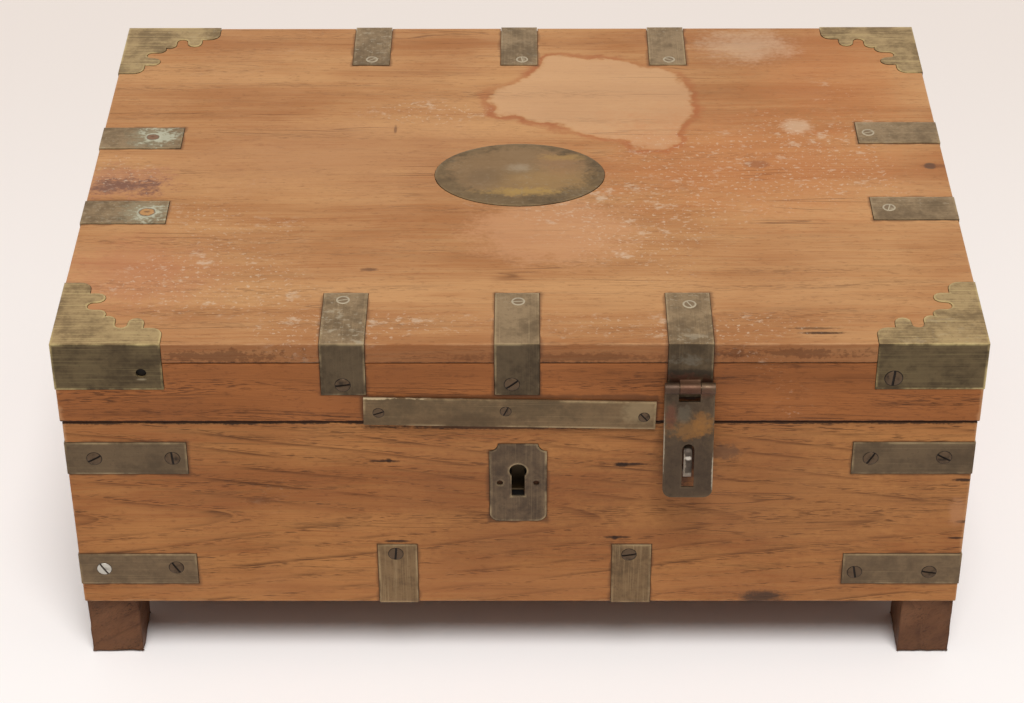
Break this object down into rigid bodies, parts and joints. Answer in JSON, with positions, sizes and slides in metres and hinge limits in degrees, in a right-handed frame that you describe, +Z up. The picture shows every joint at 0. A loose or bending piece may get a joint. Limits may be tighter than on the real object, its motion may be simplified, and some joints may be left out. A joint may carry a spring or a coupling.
{
  "type": "strongbox",
  "caption": "Low brass-bound teak strongbox on block feet, with a hinged lid, scalloped corner brackets, a keyhole lock, and a hasp that drops over a staple.",
  "frame": {"origin": "on the floor, under the middle of the whole box", "axes": "+X along the box's width, to the right as seen from the front; +Y to the back; +Z up"},
  "size_m": [0.5088, 0.3784, 0.2265],
  "materials": {
    "teak": "worn, waxed, stained by water",
    "foot_wood": "dark, rough sawn",
    "brass": "aged, brown-green patina, brushed",
    "hasp_brass": "dark brown patina",
    "steel": "worn"
  },
  "bodies": {
    "box": {"front_board": "teak", "back_board": "teak", "left_board": "teak", "right_board": "teak", "bottom_board": "teak", "foot_front_left": "foot_wood", "foot_front_right": "foot_wood", "foot_back_left": "foot_wood", "foot_back_right": "foot_wood", "corner_strap_front_left_upper": "brass", "corner_strap_front_left_lower": "brass", "corner_strap_front_right_upper": "brass", "corner_strap_front_right_lower": "brass", "corner_strap_back_left_upper": "brass", "corner_strap_back_left_lower": "brass", "corner_strap_back_right_upper": "brass", "corner_strap_back_right_lower": "brass", "bottom_strap_front_left": "brass", "bottom_strap_front_right": "brass", "bottom_strap_back_left": "brass", "bottom_strap_back_right": "brass", "box_hinge_strap_left": "brass", "box_hinge_strap_centre": "brass", "box_hinge_strap_right": "brass", "hinge_pin_left": "steel", "hinge_pin_centre": "steel", "hinge_pin_right": "steel", "escutcheon": "brass", "staple": "steel", "lock_case": "brass", "lock_cover": "brass", "lock_spring": "steel"},
    "lid": {"lid_top_board": "teak", "lid_front_rail": "teak", "lid_back_rail": "teak", "lid_left_rail": "teak", "lid_right_rail": "teak", "lid_corner_front_left": "brass", "lid_corner_front_right": "brass", "lid_corner_back_left": "brass", "lid_corner_back_right": "brass", "lid_strap_front_left": "brass", "lid_strap_front_centre": "brass", "lid_strap_left_front": "brass", "lid_strap_left_back": "brass", "lid_strap_right_front": "brass", "lid_strap_right_back": "brass", "lid_hinge_strap_left": "brass", "lid_hinge_strap_centre": "brass", "lid_hinge_strap_right": "brass", "lid_edge_strip": "brass", "oval_plate": "brass", "link_plate": "brass", "hasp_strap": "brass", "hasp_pin": "steel"},
    "hasp": {"hasp": "hasp_brass"},
    "lock_bolt": {"lock_bolt": "steel"}
  },
  "joints": [
    {"name": "lid_hinge", "type": "hinge", "parent": "box", "child": "lid", "pos_m": [0, 0.18597, 0.17335], "axis": [-1, 0, 0], "range_deg": [0, 110]},
    {"name": "hasp_swing", "type": "hinge", "parent": "lid", "child": "hasp", "pos_m": [0.0932, -0.17783, 0.19935], "axis": [-1, 0, 0], "range_deg": [-11, 160]},
    {"name": "bolt_throw", "type": "slide", "parent": "box", "child": "lock_bolt", "axis": [1, 0, 0], "range_m": [0, 0.008]}
  ]
}
